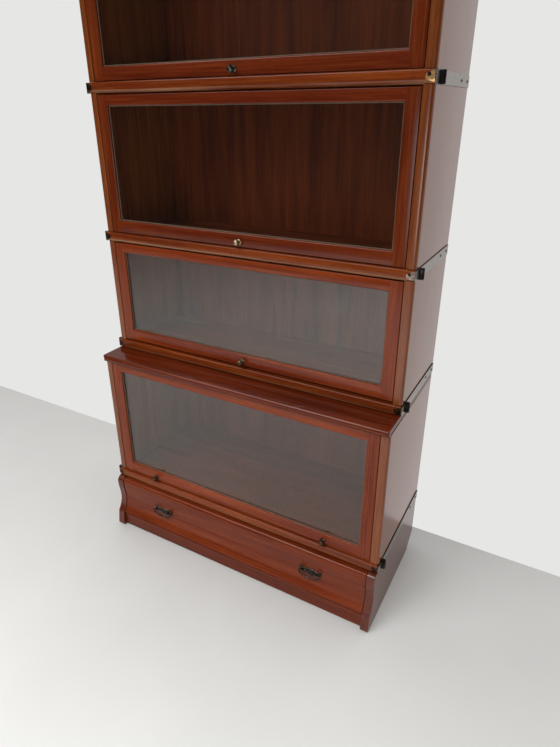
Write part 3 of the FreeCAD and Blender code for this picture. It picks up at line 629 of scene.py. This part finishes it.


# ---- doors ------------------------------------------------------------------------------------
# Four lift-up doors of polished mahogany. The two lower ones take a lighter, redder copy of the wood, which
# is painted light for the brighter light on the lower part of the case.
# Stiles run the full height with the rails tenoned between them, an ovolo on the edge next to the
# glass, and a rebate with beads behind. Steel pins turn in shoes that run in the side boards.
# the lower doors' copies are painted lighter and redder, standing for more light on the lower fronts
lit_lower_stile = mahogany("faded_mahogany_stile", ACROSS_Z, "5c1e0b", "7a3214", "994c22", wear_and_highlight=0.6)
lit_lower_rail = mahogany("faded_mahogany_door_rail", ACROSS_X, "62200c", "823616", "a05226", wear_and_highlight=0.6)
upper_stile = mahogany("french_polished_mahogany_stile", ACROSS_Z, "511b0a", "6e2d11", "8e481e", wear_and_highlight=0.6)
upper_rail = mahogany("french_polished_mahogany_door_rail", ACROSS_X, "50180a", "682810", "85401a", wear_and_highlight=0.6)
glass_lip, rebate_width = 7.0 * MM, 6.0 * MM
ovolo, outer_arris = 3.2 * MM, 1.2 * MM
stile_width, top_rail_width, foot_rail_width = 31.0 * MM, 25.0 * MM, 32.0 * MM
coplanar_step = 0.03 * MM    # rails stand this far behind the stiles, as hand-planed ones do


def member_outline(outer, inner, front, rear):
    """Section of a stile or rail. Its first column runs from the door's edge to the glass, its
    second from the face to the back."""
    way = math.copysign(1.0, inner - outer)
    return np.vstack([
        rounded((outer, front), (0, outer_arris), (way * outer_arris, 0), 4),
        rounded((inner, front), (-way * ovolo, 0), (0, ovolo), 6),
        [(inner, front + glass_lip), (inner - way * rebate_width, front + glass_lip),
         (inner - way * rebate_width, rear), (outer, rear)]])


# window glass: clear and faintly green. Rays from the lamps pass straight through it.
window_glass, tree = empty_material("window_glass")
pane = add(tree, "ShaderNodeBsdfPrincipled", {
    "Base Color": linear("eef2ee"), "Roughness": 0.0, "IOR": 1.52, "Transmission Weight": 1.0})
clear = add(tree, "ShaderNodeBsdfTransparent", {"Color": linear("e6ebe6")})
path = add(tree, "ShaderNodeLightPath")
lamp_light = add(tree, "ShaderNodeMixShader", {0: path.outputs["Is Shadow Ray"], 1: pane.outputs[0],
                                               2: clear.outputs[0]})
add(tree, "ShaderNodeOutputMaterial", {"Surface": lamp_light.outputs[0]})

dark_steel = old_metal("blackened_steel", "1c1a19", "6e6a66", 0.42, 1.05, 1.55)
old_putty, tree = empty_material("dried_glazing_putty")
# linseed putty, gone grey-green: matt, with crumbs of about 2 mm
place = add(tree, "ShaderNodeTexCoord")
crumbs = add(tree, "ShaderNodeTexNoise", {"Vector": place.outputs["Object"], "Scale": 500.0, "Detail": 3.0})
shade = add(tree, "ShaderNodeMix", {0: crumbs.outputs["Fac"], 6: linear("4a4437"), 7: linear("807a66")},
            data_type="RGBA")
shader = add(tree, "ShaderNodeBsdfPrincipled", {"Base Color": shade.outputs[2], "Roughness": 0.9})
add(tree, "ShaderNodeOutputMaterial", {"Surface": shader.outputs[0]})
putty_width, putty_depth = 1.6 * MM, 1.2 * MM
knob_up, knob_half = 12.0 * MM, 9.0 * MM
knob_profile = [(0, -1), (7.4, -1), (7.5, 0.6), (7.1, 1.5), (5.6, 2.2), (4.3, 3.4), (3.5, 5.0), (3.4, 6.6),
                (4.2, 7.9), (6.0, 8.8), (7.6, 10.3), (8.2, 12.0), (8.0, 13.8), (7.4, 15.2), (7.1, 15.4),
                (7.1, 15.9), (6.6, 16.6), (5.2, 17.8), (3.2, 18.8), (1.5, 19.2), (0, 19.3)]
# knob 3's paler brass is partly wear and partly a painted reflection
knob_metals = {"1": old_metal("browned_bronze", "33231a", "8a6c50", 0.36, 0.9, 1.45),
               "2": old_metal("dull_brass", "3a2c20", "94805c", 0.34, 0.85, 1.4),
               "3": old_metal("rubbed_knob_brass", "4c3c2a", "b4a078", 0.32, 0.75, 1.3),
               "4": old_metal("dark_pewter", "24211f", "8c8680", 0.34, 0.95, 1.45)}
for number in sections:
    body, node = "door_" + number, "door_" + number + "_frame"
    low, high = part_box(node)
    left, right = low.x + stile_width, high.x - stile_width
    foot, head = low.z + foot_rail_width, high.z - top_rail_width
    # the lower doors take the copies painted lighter
    stile_wood, rail_wood = (lit_lower_stile, lit_lower_rail) if number in "12" else (upper_stile, upper_rail)
    for side, outer, inner in (("left", low.x, left), ("right", high.x, right)):
        stile = prism(member_outline(outer, inner, low.y, high.y), ACROSS_Z, low.z, high.z)
        piece(body + "_stile_" + side, [stile], stile_wood, body, [node])
    for name, outer, inner in (("foot", low.z, foot), ("top", high.z, head)):
        outline = member_outline(outer, inner, low.y + coplanar_step, high.y - coplanar_step)[:, ::-1]
        rail = prism(outline, ACROSS_X, left - rebate_width, right + rebate_width)
        piece(body + "_rail_" + name, [rail], rail_wood, body, [node])
    # the putty's fillet in front of the glass: a strip along each edge of the opening
    near, far = low.y + glass_lip - putty_depth, low.y + glass_lip
    strips = [block((left, near, foot), (left + putty_width, far, head)),
              block((right - putty_width, near, foot), (right, far, head)),
              block((left + putty_width, near, foot), (right - putty_width, far, foot + putty_width)),
              block((left + putty_width, near, head - putty_width), (right - putty_width, far, head))]
    piece(body + "_putty_line", strips, old_putty, body, [node])
    finish(body + "_glass", window_glass)
    finish(body + "_glazing_beads", inside_mahogany)
    finish(body + "_runner_shoes", dark_steel)
    knob_node = body + ("_knobs" if number == "1" else "_knob")
    knob_low, knob_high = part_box(knob_node)
    knob_xs = [knob_low.x + knob_half, knob_high.x - knob_half] if number == "1" else [0.0]
    knobs = [turned((x, low.y, low.z + knob_up), (0, -1, 0), knob_profile) for x in knob_xs]
    piece(body + "_turned_knob" + ("s" if number == "1" else ""), knobs, knob_metals[number], body,
          [knob_node])


# ---- bands, knuckles and caps -----------------------------------------------------------------
# At every joint a rolled steel strip is screwed along each side, with a folded knuckle near the
# front that locks into the next unit, and a pressed cap covers each end of the joint rail.
band_steel, tree = empty_material("lacquered_steel_band")
# old rolled strip under lacquer: grey and dull, with painted shade, nearly black, on its upper and lower
# edges standing for the shadowed gap beside the wood
place = add(tree, "ShaderNodeTexCoord")
rolled = add(tree, "ShaderNodeMapping", {"Vector": place.outputs["Object"], "Scale": (400.0, 12.0, 400.0)})
lines = add(tree, "ShaderNodeTexNoise", {"Vector": rolled.outputs[0], "Scale": 1.0, "Detail": 2.0})
spots = add(tree, "ShaderNodeTexNoise", {"Vector": place.outputs["Object"], "Scale": 180.0, "Detail": 4.0})
grey = add(tree, "ShaderNodeMix", {0: lines.outputs["Fac"], 6: linear("6f6863"), 7: linear("948d86")},
           data_type="RGBA")
rust = add(tree, "ShaderNodeMapRange", {"Value": spots.outputs["Fac"], "From Min": 0.56, "From Max": 0.74,
                                        "To Max": 0.7})
grey = add(tree, "ShaderNodeMix", {0: rust.outputs[0], 6: grey.outputs[2], 7: linear("3a2c25")},
           data_type="RGBA")
# painted shade: faces that look up or down are darkened nearly to black and dulled
face = add(tree, "ShaderNodeNewGeometry")
facing = add(tree, "ShaderNodeSeparateXYZ", {0: face.outputs["Normal"]})
level = add(tree, "ShaderNodeMath", {0: facing.outputs["Z"]}, operation="ABSOLUTE")
painted_edge_shade = add(tree, "ShaderNodeMapRange", {"Value": level.outputs[0], "From Min": 0.5, "From Max": 0.8})
grey = add(tree, "ShaderNodeMix", {0: painted_edge_shade.outputs[0], 6: grey.outputs[2], 7: linear("15100e")},
           data_type="RGBA")
dull = add(tree, "ShaderNodeMapRange", {"Value": painted_edge_shade.outputs[0], "To Min": 0.34, "To Max": 0.75})
shader = add(tree, "ShaderNodeBsdfPrincipled", {"Base Color": grey.outputs[2], "Metallic": 1.0,
                                                "Roughness": dull.outputs[0]})
add(tree, "ShaderNodeOutputMaterial", {"Surface": shader.outputs[0]})

knuckle_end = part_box("joint_bands")[1].x
case_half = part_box("section_3_side_right")[1].x
band_thick, knuckle_r = 2.2 * MM, 5.3 * MM
band_front_gap, band_back_gap, band_height = 3.0 * MM, 3.0 * MM, 24.0 * MM
crown_half, seam_depth = 1.1 * MM, 1.6 * MM
knuckle_back = {"left": 6.5 * MM, "right": 26.0 * MM}
screw_rear = (75.0 * MM, 22.0 * MM)
bands = {"left": [], "right": []}
knuckles = {"left": [], "right": []}
for node in rails.values():
    low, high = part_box(node)
    front, foot, rear = high.y - notch_depth, low.z, cad_high.y
    for side, way in (("left", -1), ("right", 1)):
        wall, strip = way * case_half, way * (case_half + band_thick)
        bands[side].append(block(
            (min(wall, strip), front - band_front_gap, foot),
            (max(wall, strip), rear - band_back_gap, foot + band_height)))
        middle = front + knuckle_back[side]
        springing = knuckle_end - knuckle_r
        # half-round end of the fold, from one flank over the crown to the other, with its seam
        turn = np.radians(np.concatenate([np.linspace(-90, -12, 9), np.linspace(12, 90, 9)]))
        crown = np.column_stack([way * (springing + knuckle_r * np.cos(turn)),
                                 middle + knuckle_r * np.sin(turn)])
        seam = [(way * (springing + knuckle_r - seam_depth), middle - crown_half),
                (way * (springing + knuckle_r - seam_depth), middle + crown_half)]
        outline = np.vstack([crown[:9], seam, crown[9:],
                             [(strip, middle + knuckle_r), (strip, middle - knuckle_r)]])
        knuckles[side].append(prism(outline, ACROSS_Z, foot, foot + band_height))
for side in ("left", "right"):
    piece("side_bands_" + side, bands[side], band_steel, "case", ["joint_bands"],
          soften=0.4 * MM)
    piece("knuckles_" + side, knuckles[side], dark_steel, "case", ["joint_bands"],
          soften=0.5 * MM)

# pressed brass caps: the upper right one has been rubbed bright, the next is silvery, the rest brown
bright_brass = old_metal("rubbed_brass", "a0622e", "f2c48c", 0.26, 0.62, 1.1)
worn_nickel = old_metal("worn_nickel_plate", "4a3830", "b9a6a0", 0.30, 0.75, 1.25)
brown_brass = old_metal("browned_brass", "2e1a10", "8a6040", 0.38, 0.95, 1.5)
cap_metals = {("4", "right"): bright_brass, ("3", "right"): worn_nickel}
# a cap's shape: the heights it covers on the rail, and its round end, which turns into straight
# edges that spread outwards by 2.6 mm for every millimetre away from its middle line
cap_foot, cap_head, cap_middle = 3.0 * MM, 22.5 * MM, 12.7 * MM
round_half, round_depth, end_gap, spread = 4.5 * MM, 1.2 * MM, 0.6 * MM, 2.6
sheet = 1.1 * MM
for number, node in rails.items():
    low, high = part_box(node)
    rise = np.linspace(cap_foot, cap_head, 27)
    hollow = np.maximum(rail_under_r - rise, 0)
    face = low.y + rail_under_r - np.sqrt(rail_under_r ** 2 - hollow ** 2)
    off = np.abs(rise - cap_middle)
    reach = np.where(off < round_half, round_depth * (off / round_half) ** 2,
                     round_depth + (off - round_half) * spread)
    inner = high.x + cap_thick - cap_length + end_gap + reach
    outline = np.vstack([np.column_stack([face, rise + low.z]),
                         np.column_stack([face + sheet, rise + low.z])[::-1]])
    edge, outer_end = np.concatenate([inner, inner[::-1]]), high.x + cap_thick
    for side, way in (("left", -1), ("right", 1)):
        cap = prism(outline, ACROSS_X, way * edge, way * outer_end)
        metal = cap_metals.get((number, side), brown_brass)
        piece("corner_cap_" + number + "_" + side, [cap], metal, "case", ["corner_caps"],
              smooth=50)


# ---- screws -----------------------------------------------------------------------------------
# Slotted round-head steel screws: two through each band near the back, one through each cap.
head_r, head_rise, slot_half, slot_depth = 3.6 * MM, 1.7 * MM, 0.45 * MM, 1.1 * MM


def slotted_head(centre, outward, slot_way):
    """A flat disc raised to a dome by a parabola, with the strip along its middle sunk: rows run
    across the slot, and each row is shortened to fit the round edge."""
    u = np.array([-1, -0.95, -0.8, -0.6, -0.4, -0.2]) * head_r
    u = np.concatenate([u, [-slot_half, -slot_half, slot_half, slot_half], -u[::-1]])
    sunk = np.zeros(len(u), bool)
    sunk[7:9] = True
    w = np.linspace(-1, 1, 13)
    reach = np.sqrt(np.maximum(head_r ** 2 - u ** 2, 0))
    u_all, w_all = np.meshgrid(u, w, indexing="ij")
    w_all = w_all * reach[:, None]
    dome = head_rise * (1 - (u_all ** 2 + w_all ** 2) / head_r ** 2)
    rise = np.where(sunk[:, None], np.minimum(dome, head_rise - slot_depth), dome)
    outward, first = np.array(outward, float), np.array(slot_way, float)
    second = np.cross(outward, first)
    place = np.array(centre) + u_all[..., None] * first + w_all[..., None] * second
    top = place + rise[..., None] * outward
    foot = place - 0.6 * MM * outward
    return loft(np.concatenate([top, foot[:, ::-1]], axis=1))


heads = []
cap_screw_in, cap_screw_up = 11.0 * MM, 16.0 * MM
for number, node in enumerate(rails.values()):
    low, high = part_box(node)
    for way in (-1, 1):
        for place_number, back in enumerate(screw_rear):
            angle = 0.7 + 1.3 * number + 2.1 * place_number + way
            place = (way * (case_half + band_thick), cad_high.y - back, low.z + band_height / 2)
            heads.append(slotted_head(place, (way, 0, 0), (0, math.cos(angle), math.sin(angle))))
        angle = 0.4 + 0.9 * number * way
        heads.append(slotted_head((way * (case_half - cap_screw_in), low.y, low.z + cap_screw_up),
                                  (0, -1, 0), (math.cos(angle), 0, math.sin(angle))))
piece("slotted_screw_heads", heads, dark_steel, "case", ["fitting_screws"])


# ---- cornice ----------------------------------------------------------------------------------
# The top unit: short side boards and a frieze, under a top board whose front and ends are worked
# to a cove below a square edge.
finish("cornice_frame", crosswise_mahogany)
low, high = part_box("cornice_top_board")
overhang = high.x - case_half
cove = 12.0 * MM
back, front = high.y, low.y + overhang
turn = np.linspace(0, math.pi / 2, 12)
out = np.concatenate([overhang * (1 - np.cos(turn)), [overhang, overhang - 0.8 * MM]])
level = np.concatenate([low.z + cove * np.sin(turn), [high.z - 0.8 * MM, high.z]])
rings = [[(-case_half - o, back, z), (-case_half - o, front - o, z), (case_half + o, front - o, z),
          (case_half + o, back, z)] for o, z in zip(out, level)]
piece("cornice_moulding", [loft(rings)], crosswise_mahogany, "case", ["cornice_top_board"])

# ---- sizes ------------------------------------------------------------------------------------
# This model's box; the CAD model's box was found at the start.
low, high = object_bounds()
